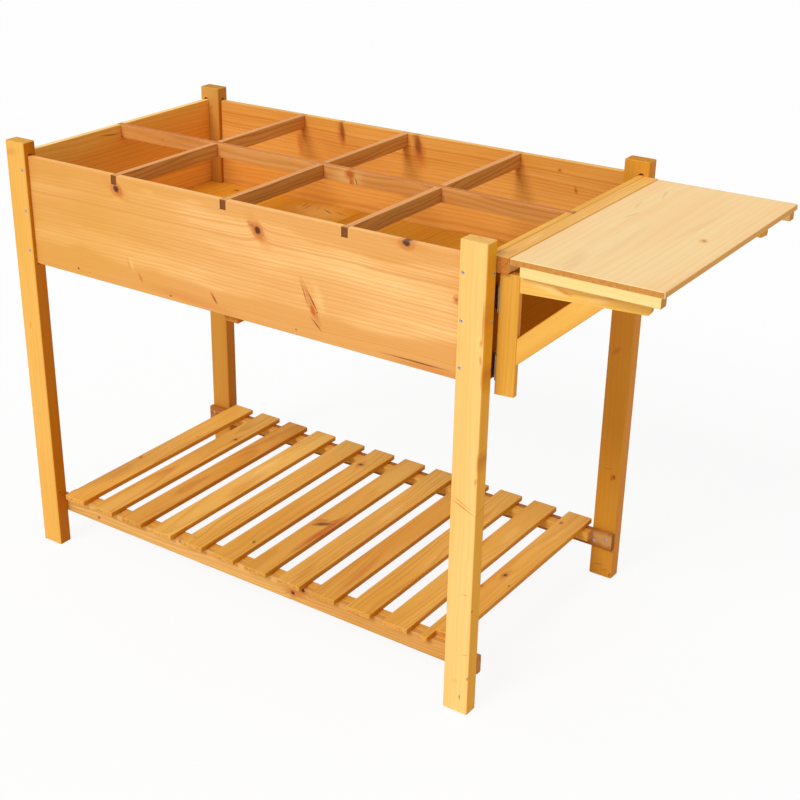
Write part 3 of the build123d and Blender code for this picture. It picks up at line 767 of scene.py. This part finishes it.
def dress_boards():
    name = "board_front"
    marks = marked(on_front, name, FRONT_BOARD_MARKS)
    bands = FRONT_BOARD_BANDS
    dress_wood(name, BOARD, ALONG_X, (0.05, 0.19), ring=0.0068, marks=marks, bands=bands)
    name = "board_back"
    marks = marked(on_front, name, BACK_BOARD_MARKS)
    dress_wood(name, INNER, ALONG_X, (-0.04, -0.08), ring=0.006, marks=marks)
    name = "board_left"
    marks = [on_wall(name, "Dark", 242, 781, 1.4, 20, 8, 0.7)]
    # The left board is made paler as painted light on its inward face, which the lamp doesn't reach
    tint = (1.35, 1.45, 1.95)
    dress_wood(name, INNER, ALONG_Y, (0.03, 0.15), ring=0.007, marks=marks, tint=tint)
    dress_wood("board_right", OUTER, ALONG_Y, (0.03, -0.12), ring=0.006, gloss=0.0)


LONG_DIVIDER_MARKS = (
    ("Glow", 560, 778, 22.0, 1.6, 0, 0.35),
    ("Rust", 563, 786, 11.0, 1.1, 0, 0.9),
    ("Rust", 566, 774, 6.0, 1.6, 70, 0.8),
    ("Dark", 576, 776, 1.4, 5, 75, 0.8),
    ("Rust", 128, 782, 3.6, 1.2, 0, 0.5),
    ("Dark", 22, 772, 2.2, 1.4, 30, 0.8),
)


def dress_dividers():
    name = "divider_long"
    marks = marked(on_front, name, LONG_DIVIDER_MARKS)
    dress_wood(name, LONG_DIVIDER, ALONG_X, (0.05, 0.03), ring=0.004, marks=marks)
    for number in range(1, 4):
        dress_wood(f"divider_cross_{number}", DIVIDER, ALONG_Y, (0.04, 0.02), ring=0.0035)


# The plank tints make the left plank paler and the others deeper, as painted light falling from the
# left
PLANK_TINTS = {1: (1.1, 1.14, 0.75), 2: (0.93, 0.9, 0.72)}
OTHER_PLANK_TINT = (0.82, 0.78, 0.55)
PLANK_MARKS = {
    1: (("Dark", 108, 509, 3.5, 2.6, 70, 0.8), ("Rust", 108, 505, 8, 2, 0, 0.4)),
    2: (
        ("Dark", 285, 508, 2.2, 9, 12, 0.55),
        ("Dark", 297, 500, 2.2, 10, 10, 0.5),
        ("Dark", 320, 506, 1.4, 9, 14, 0.5),
        ("Dark", 348, 500, 2.4, 9, 60, 0.65),
        ("Dark", 376, 503, 2.2, 10, 75, 0.6),
        ("Glow", 330, 490, 40, 2, 80, 0.25),
    ),
}


def dress_floor():
    for number in range(1, 6):
        name = f"floor_plank_{number}"
        marks = marked(on_top, name, PLANK_MARKS.get(number, ()))
        tint = PLANK_TINTS.get(number, OTHER_PLANK_TINT)
        dress_wood(name, FLOOR, ALONG_Y, (0.01, 0.06), ring=0.006, marks=marks, tint=tint)
    for face in FACES:
        dress_wood(f"floor_cleat_{face}", FLOOR, ALONG_X, (0.03, 0.05))
    dress_wood("floor_batten", SLAT, ALONG_Y, (0.03, 0.05), tint=(0.8, 0.6, 0.4))


FRONT_BEAM_MARKS = (
    ("Dark", 133, 78, 3.2, 1.4, 0, 0.8),
    ("Dark", 348, 97, 3.6, 1.5, 20, 0.7),
    ("Knot", 616, 83, 4.4, 1.2, 0),
    ("Knot", 639, 97, 4.4, 1.2, 20),
    ("Rust", 628, 88, 10, 2.2, 0, 0.4),
)
SLAT_TINTS = {
    1: (1.12, 1.1, 1.05),
    3: (0.96, 0.88, 0.75),
    4: (1.05, 1.12, 1.25),
    5: (1.03, 1.06, 1.1),
    9: (0.97, 0.92, 0.85),
}
SLAT_MARKS = {
    1: (
        ("Rust", 63.5, 225, 3.4, 2.4, 10, 0.8),
        ("Rust", 96, 368, 3.0, 1.6, 0, 0.7),
        ("Rust", 78, 150, 10, 5, 3, 0.22),
    ),
    2: (("Knot", 170, 406, 3.4, 1.3, 0), ("Rust", 150, 200, 9, 6, -3, 0.2)),
    3: (("Rust", 228, 380, 9, 5, 4, 0.25),),
    4: (("Glow", 305, 330, 9, 9, 3, 0.5),),
    5: (("Glow", 388, 250, 7, 8, -3, 0.25), ("Dark", 374, 40, 2, 2, 0, 0.6)),
    6: (("Dark", 475, 92, 2.8, 2.4, 20, 0.85), ("Knot", 453.5, 468, 5.2, 1.0, 0)),
    7: (
        ("Dark", 539, 222, 8.0, 2.8, -52, 0.85),
        ("Dark", 548, 240, 3.0, 6.0, -20, 0.5),
        ("Rust", 556, 200, 8.0, 13, -1, 0.8),
        ("Rust", 530, 232, 9.0, 2.0, -60, 0.5),
    ),
    8: (("Rust", 618, 60, 8, 6, 3, 0.3), ("Glow", 622, 330, 8, 8, 2, 0.25)),
    9: (("Rust", 700, 120, 9, 10, 4, 0.35),),
    10: (("Rust", 776, 420, 10, 4, 4, 0.3),),
    11: (("Rust", 822, 330, 7, 9, 5, 0.4), ("Glow", 850, 400, 9, 5, 4, 0.2)),
    12: (
        ("Rust", 902, 150, 6, 12, 4, 0.45),
        ("Knot", 914, 266, 4.2, 1.3, 0),
        ("Rust", 905, 494, 5.0, 1.5, 0, 0.8),
        ("Dark", 905, 494, 1.8, 1.5, 0, 0.6),
        ("Rust", 898, 210, 4.6, 1.5, 0, 0.8),
        ("Dark", 938, 238, 2.6, 1.5, 0, 0.7),
    ),
}


def dress_slat(number):
    """Gives a slat its wood, sawn at its own place beside the heart of the tree."""
    name = f"shelf_slat_{number}"
    numbers = seed_of(f"heart {number}")
    pith = (numbers.uniform(-0.04, 0.04), -numbers.uniform(0.04, 0.1))
    marks = marked(on_top, name, SLAT_MARKS.get(number, ()))
    tint = SLAT_TINTS.get(number, UNTINTED)
    dress_wood(name, SLAT, ALONG_Y, pith, ring=0.005, lean=0.04, marks=marks, tint=tint)


def dress_shelf():
    name = "shelf_beam_front"
    marks = marked(on_front, name, FRONT_BEAM_MARKS)
    dress_wood(name, BEAM, ALONG_X, (0.05, 0.03), ring=0.004, marks=marks)
    name = "shelf_beam_back"
    # The back beam is darker, partly its own pinkish wood and partly painted shade under the slats;
    # the pale spot at its right end is painted light where that end is lit
    marks = [on_front(name, "Glow", 985, 88, 18, 2.4, 0, 0.36)]
    dress_wood(name, BEAM, ALONG_X, (0.05, 0.03), marks=marks, tint=(0.66, 0.43, 0.25))
    for face in FACES:
        dress_wood(f"shelf_strip_{face}", SLAT, ALONG_X, (0.04, 0.03))
    for number in range(1, 13):
        dress_slat(number)


RAIL_MARKS = (("Rust", 1008, 60, 5, 4, 6, 0.2), ("Glow", 1004, 130, 6, 6, 3, 0.25))
TABLE_MARKS = (
    ("Glow", 1210, 266, 14, 1.8, 20, 0.5),
    ("Rust", 1212, 267, 8, 1.7, 20, 0.35),
    ("Dark", 1213, 267, 3.6, 1.5, 20, 0.45),
    ("Rust", 1120, 200, 8, 14, 3, 0.1),
    ("Rust", 1180, 330, 7, 12, -3, 0.1),
    ("Rust", 1100, 70, 14, 5, 6, 0.12),
    ("Rust", 1055, 375, 3, 9, 8, 0.2),
    ("Rust", 1070, 321, 3, 8, -10, 0.2),
    ("Rust", 1066, 452, 3, 9, 14, 0.2),
)


def dress_table():
    name = "hinge_rail"
    dress_wood(name, RAIL, ALONG_Y, (0.04, 0.03), marks=marked(on_top, name, RAIL_MARKS))
    name = "tabletop"
    marks = marked(on_top, name, TABLE_MARKS)
    dress_wood(name, TABLE, ALONG_Y, (0.03, -0.05), ring=0.009, lean=0.06, marks=marks)
    for face in FACES:
        dress_wood(f"table_batten_{face}", PALE_BATTEN, ALONG_X, (0.05, 0.05))


# At rest the brackets are swung a little towards the middle of the table, and the braces slope
BRACKET_SWING = math.radians(7.5)
BRACE_SLOPE = math.radians(-42)

# Marks of both arms: kind, place along and across in metres, face, radius, stretch, turn, strength
ARM_MARKS = (
    Mark("Glow", -0.055, 0.001, "Y", 6.0, 5.0, 10, 0.6),
    Mark("Glow", 0.02, -0.004, "Y", 5.0, 4.0, -8, 0.5),
    Mark("Rust", -0.03, 0.0, "Y", 3.5, 4.5, 14, 0.45),
    Mark("Rust", 0.035, 0.004, "Y", 3.0, 4.0, 6, 0.4),
)


def dress_brackets():
    arm_tint = (1.03, 1.06, 1.15)
    for face, swing in zip(FACES, (BRACKET_SWING, -BRACKET_SWING)):
        name = f"bracket_{face}"
        dress_wood(f"{name}_stile", BRACKET, ALONG_Z, (0.04, 0.06), tint=(0.9, 0.84, 0.6))
        grain = (0, 0, swing)
        dress_wood(f"{name}_arm", BRACKET, grain, (0.04, 0.04), marks=ARM_MARKS, tint=arm_tint)
        dress_wood(f"{name}_brace", BRACKET, (0, BRACE_SLOPE, swing), (0.05, 0.03))


# Zinc-plated steel of the hinges and screws, with the cycles of its noises per metre
ZINC_CLOUDS = (260.0, 260.0, 260.0)
ZINC_SPECKS = (2600.0, 2600.0, 2600.0)
HEAD_CLOUDS = (900.0, 900.0, 900.0)
CLOUD_COLOURS = (srgb(196, 198, 208), srgb(160, 162, 174))
SPECK_COLOUR = srgb(112, 104, 96)
SPECK_COVER = 0.6
ZINC_ROUNDING = 0.0004
ZINC_RELIEF_DEPTH = 0.00005
HEAD_COLOURS = (srgb(214, 214, 228), srgb(184, 184, 200))
# The cross recess is painted dark as the shade inside it
RECESS_SHADE_COLOUR = srgb(66, 60, 58)
RECESS_DEPTH = 0.0006

# Recess of a screw head: half the width and the length of its arms, in radii, each with a soft edge
RECESS_NARROW = (0.1, 0.16)
RECESS_LONG = (0.52, 0.62)


def make_zinc():
    """Zinc of the hinges, with clouds and dull specks."""
    material, tree = new_material("zinc")
    place = put(tree, "ShaderNodeTexCoord").outputs["Object"]
    cloud = noise(tree, place, ZINC_CLOUDS, 3.0)
    speck = noise(tree, place, ZINC_SPECKS)
    colour = mix(tree, ramp(tree, cloud, 0.35, 0.7), *CLOUD_COLOURS)
    specks = calc(tree, "MULTIPLY", ramp(tree, speck, 0.62, 0.8), SPECK_COVER)
    relief = {"Height": speck, "Distance": ZINC_RELIEF_DEPTH, "Strength": 0.4}
    relief["Normal"] = rounded_normal(tree, ZINC_ROUNDING)
    inputs = {
        "Base Color": mix(tree, specks, colour, SPECK_COLOUR),
        "Roughness": ramp(tree, cloud, 0.3, 0.7, 0.28, 0.45),
        "Normal": put(tree, "ShaderNodeBump", relief).outputs[0],
        "Metallic": 0.85,
    }
    end_with_shader(tree, inputs)
    return material


def make_screw_zinc():
    """Zinc with a cross recess painted dark as its shade, drawn on each head's own map."""
    material, tree = new_material("screw_zinc")
    coordinates = put(tree, "ShaderNodeTexCoord").outputs
    flat = put(tree, "ShaderNodeSeparateXYZ", {0: coordinates["UV"]}).outputs
    off = [calc(tree, "ABSOLUTE", flat[axis]) for axis in ("X", "Y")]
    narrow = fade(tree, calc(tree, "MINIMUM", *off), *RECESS_NARROW)
    short = fade(tree, calc(tree, "MAXIMUM", *off), *RECESS_LONG)
    cross = calc(tree, "MULTIPLY", narrow, short)
    cloud = noise(tree, coordinates["Object"], HEAD_CLOUDS)
    relief = {"Height": cross, "Distance": RECESS_DEPTH, "Strength": 0.8}
    inputs = {
        "Base Color": mix(tree, cross, mix(tree, cloud, *HEAD_COLOURS), RECESS_SHADE_COLOUR),
        "Roughness": ramp(tree, cloud, 0.3, 0.7, 0.3, 0.45),
        "Normal": put(tree, "ShaderNodeBump", relief, invert=True).outputs[0],
        "Metallic": 0.4,
    }
    end_with_shader(tree, inputs)
    return material


# Frame screws: a head's outline as shares of its radius and drops below its top in radii, how near
# two vertices are one, and the height that divides the shelf beams' screws from the posts'
HEAD_OUTLINE = ((0.0, 0.0), (0.35, 0.0), (0.7, -0.03), (0.93, -0.09), (1.0, -0.2), (1.0, -0.38))
HEAD_SEGMENTS = 20
SAME_PLACE = 0.000002
SHELF_SCREWS_BELOW = 0.3


def joined_to(start, left):
    """Places of the vertices joined to one, which are taken out of those that are left."""
    left.remove(start)
    queue = [start]
    group = []
    while queue:
        vertex = queue.pop()
        group.append(vertex.co.copy())
        for edge in vertex.link_edges:
            other = edge.other_vert(vertex)
            if other in left:
                left.remove(other)
                queue.append(other)
    return group


def islands(mesh):
    """Groups of joined vertices of a mesh, in the order of their first vertices."""
    made = bmesh.new()
    made.from_mesh(mesh)
    bmesh.ops.remove_doubles(made, verts=made.verts, dist=SAME_PLACE)
    left = set(made.verts)
    found = [joined_to(start, left) for start in made.verts if start in left]
    made.free()
    return found


def out_of_frame(place):
    """Screws of the posts face outwards, and those of the shelf beams face the middle."""
    planter_middle = (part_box("board_left")[0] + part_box("board_right")[1]) / 2
    outwards = place - planter_middle
    return outwards if place.z > SHELF_SCREWS_BELOW else -outwards


def head_frame(group):
    """Middle of a head's outer face, its axis out of the wood, and its radius."""
    low = Vector([min(point[axis] for point in group) for axis in range(3)])
    high = Vector([max(point[axis] for point in group) for axis in range(3)])
    size = high - low
    middle = (low + high) / 2
    thin = min(range(3), key=lambda axis: size[axis])
    outward = Vector((0, 0, 0))
    outward[thin] = 1.0 if out_of_frame(middle)[thin] > 0 else -1.0
    return middle + outward * size[thin] / 2, outward, max(size) / 2


def head_rings(mesh, face_middle, turned, radius):
    """Rings of vertices of a head, each with its place in radii."""
    rings = []
    for share, drop in HEAD_OUTLINE:
        ring = []
        for number in range(HEAD_SEGMENTS if share else 1):
            angle = 2 * math.pi * number / HEAD_SEGMENTS
            flat = Vector((share * math.cos(angle), share * math.sin(angle), drop)) * radius
            ring.append((mesh.verts.new(face_middle + turned @ flat), flat / radius))
        rings.append(ring)
    return rings


def add_head(mesh, uv_layer, face_middle, outward, radius, turn):
    """One domed head with a rim, that reaches a little below its outer face."""
    turned = outward.to_track_quat("Z", "Y").to_matrix() @ Matrix.Rotation(turn, 3, "Z")
    rings = head_rings(mesh, face_middle, turned, radius)
    for inner, outer in zip(rings, rings[1:]):
        for number in range(HEAD_SEGMENTS):
            after = (number + 1) % HEAD_SEGMENTS
            corners = [outer[number], outer[after]]
            corners += [inner[0]] if len(inner) == 1 else [inner[after], inner[number]]
            face = mesh.faces.new([vertex for vertex, place in corners])
            face.smooth = True
            for loop, (vertex, place) in zip(face.loops, corners):
                loop[uv_layer].uv = place.xy


def build_heads():
    """Round frame screw heads with a cross recess in place of the CAD's plain ones."""
    node = "frame_screws"
    mesh = bmesh.new()
    uv_layer = mesh.loops.layers.uv.new("head")
    numbers = seed_of(node)
    for group in islands(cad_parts[node].data):
        add_head(mesh, uv_layer, *head_frame(group), numbers.uniform(0, math.pi))
    piece = add_mesh(f"{node}_heads", mesh, make_screw_zinc())
    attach(piece, "planter")
    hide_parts(node)


def dress_metal():
    names = ["rail_hinge_leaves", "table_hinge_leaves", "board_hinge_leaves"]
    names += ["table_hinge_pins", "bracket_hinge_pins"]
    names += ["planter_hinge_screws", "table_hinge_screws"]
    for face in FACES:
        names += [f"bracket_{face}_hinge_leaves", f"bracket_{face}_hinge_screws"]
    zinc = make_zinc()
    for name in names:
        dress(name, zinc)
    build_heads()


# Studio: camera as in the photograph, floor, lamp and world. The camera's place is measured from
# the planter's front left corner, and its angles are in degrees. The picture's middle lies off the
# lens axis, which the two shifts allow for.
CAMERA_PLACE = (1.98135, -1.70999, 1.47681)
CAMERA_YAW, CAMERA_PITCH, CAMERA_ROLL = -36.307, -25.584, -0.125
SENSOR_WIDTH, LENS = 36.0, 65.09
SHIFT_X, SHIFT_Y = 0.0847, 0.0298

KEY_STRENGTH = 1.85
KEY_WIDTH = math.radians(24)
KEY_DIRECTION = (0.14, 0.77, -0.63)
WORLD_LIGHT = 0.58
WORLD_SEEN = 1.0
FLOOR_RADIUS = 14.0
FLOOR_WHITE = srgb(246, 246, 246)
FLOOR_GLOW_SEEN = 0.9
WHITE = (1, 1, 1, 1)


def place_camera():
    yaw, pitch, roll = (math.radians(angle) for angle in (CAMERA_YAW, CAMERA_PITCH, CAMERA_ROLL))
    flat = math.cos(pitch)
    forward = Vector((math.sin(yaw) * flat, math.cos(yaw) * flat, math.sin(pitch)))
    level = Vector((math.cos(yaw), -math.sin(yaw), 0))
    upward = level.cross(forward)
    right = math.cos(roll) * level + math.sin(roll) * upward
    top = -math.sin(roll) * level + math.cos(roll) * upward
    data = bpy.data.cameras.new("camera")
    data.sensor_width = SENSOR_WIDTH
    data.lens = LENS
    data.shift_x = SHIFT_X
    data.shift_y = SHIFT_Y
    camera = add_object("camera", data)
    place = Vector((corner.x, corner.y, 0)) + Vector(CAMERA_PLACE)
    turned = Matrix((right, top, -forward)).transposed().to_4x4()
    camera.matrix_world = Matrix.Translation(place) @ turned
    bpy.context.scene.camera = camera


def seen_directly(tree):
    """One for what the camera sees itself, in metal or through glass."""
    path = put(tree, "ShaderNodeLightPath").outputs
    seen = calc(tree, "MAXIMUM", path["Is Camera Ray"], path["Is Glossy Ray"])
    return calc(tree, "MAXIMUM", seen, path["Is Transmission Ray"])


def make_floor_material():
    """White floor that shows soft shadows."""
    material, tree = new_material("studio_floor")
    lit = put(tree, "ShaderNodeBsdfDiffuse", {"Color": FLOOR_WHITE}).outputs[0]
    glow = put(tree, "ShaderNodeEmission", {"Color": WHITE, "Strength": 1.0}).outputs[0]
    share = calc(tree, "MULTIPLY", seen_directly(tree), FLOOR_GLOW_SEEN)
    shader = put(tree, "ShaderNodeMixShader", {0: share, 1: lit, 2: glow}).outputs[0]
    put(tree, "ShaderNodeOutputMaterial", {"Surface": shader})
    return material


def place_floor():
    mesh = bmesh.new()
    bmesh.ops.create_circle(mesh, cap_ends=True, segments=96, radius=FLOOR_RADIUS)
    add_mesh("floor", mesh, make_floor_material())


def place_key_lamp():
    """Soft distant lamp from the front and above."""
    data = bpy.data.lights.new("key", "SUN")
    data.energy = KEY_STRENGTH
    data.angle = KEY_WIDTH
    lamp = add_object("key", data)
    lamp.rotation_euler = Vector(KEY_DIRECTION).to_track_quat("-Z", "Y").to_euler()


def place_world():
    """White all round, dimmer as a light than as it is seen."""
    world = bpy.data.worlds.new("studio")
    world.use_nodes = True
    tree = world.node_tree
    tree.nodes.clear()
    inputs = {"Value": seen_directly(tree), "To Min": WORLD_LIGHT, "To Max": WORLD_SEEN}
    strength = put(tree, "ShaderNodeMapRange", inputs).outputs[0]
    light = put(tree, "ShaderNodeBackground", {"Color": WHITE, "Strength": strength}).outputs[0]
    put(tree, "ShaderNodeOutputWorld", {"Surface": light})
    bpy.context.scene.world = world


dress_posts()
dress_boards()
dress_dividers()
dress_floor()
dress_shelf()
dress_table()
dress_brackets()
dress_metal()

place_camera()
place_floor()
place_key_lamp()
place_world()
bpy.context.scene.view_settings.view_transform = "Standard"
